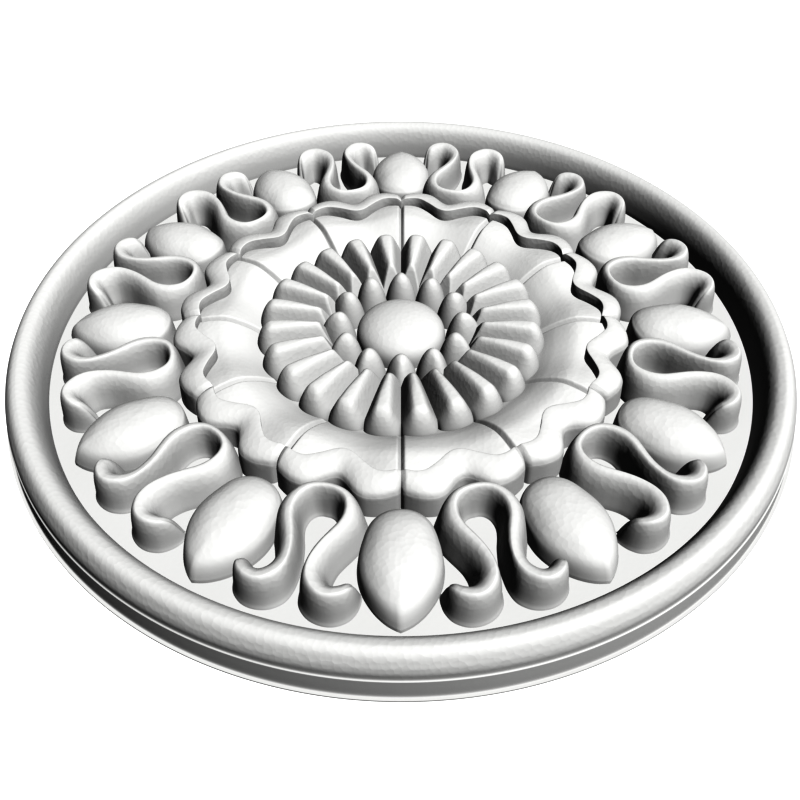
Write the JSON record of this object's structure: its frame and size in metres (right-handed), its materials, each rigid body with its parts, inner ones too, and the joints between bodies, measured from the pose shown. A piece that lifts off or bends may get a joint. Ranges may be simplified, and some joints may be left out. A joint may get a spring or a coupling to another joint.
{
  "type": "carved rosette",
  "caption": "Round carved rosette with a rolled rim, a ring of eggs and ribbons, and a layered flower round a central dome. Flat back.",
  "frame": {"origin": "middle of the flat back, on the face that is fixed to the surface behind it", "axes": "+Z out of the carved face; -Y towards the joint between two petals that faces the viewer"},
  "size_m": [0.1982, 0.1982, 0.0116],
  "materials": {
    "primed_wood": "white primer over fine carved wood, satin"
  },
  "bodies": {
    "root": {"rosette": "primed_wood"}
  },
  "joints": []
}
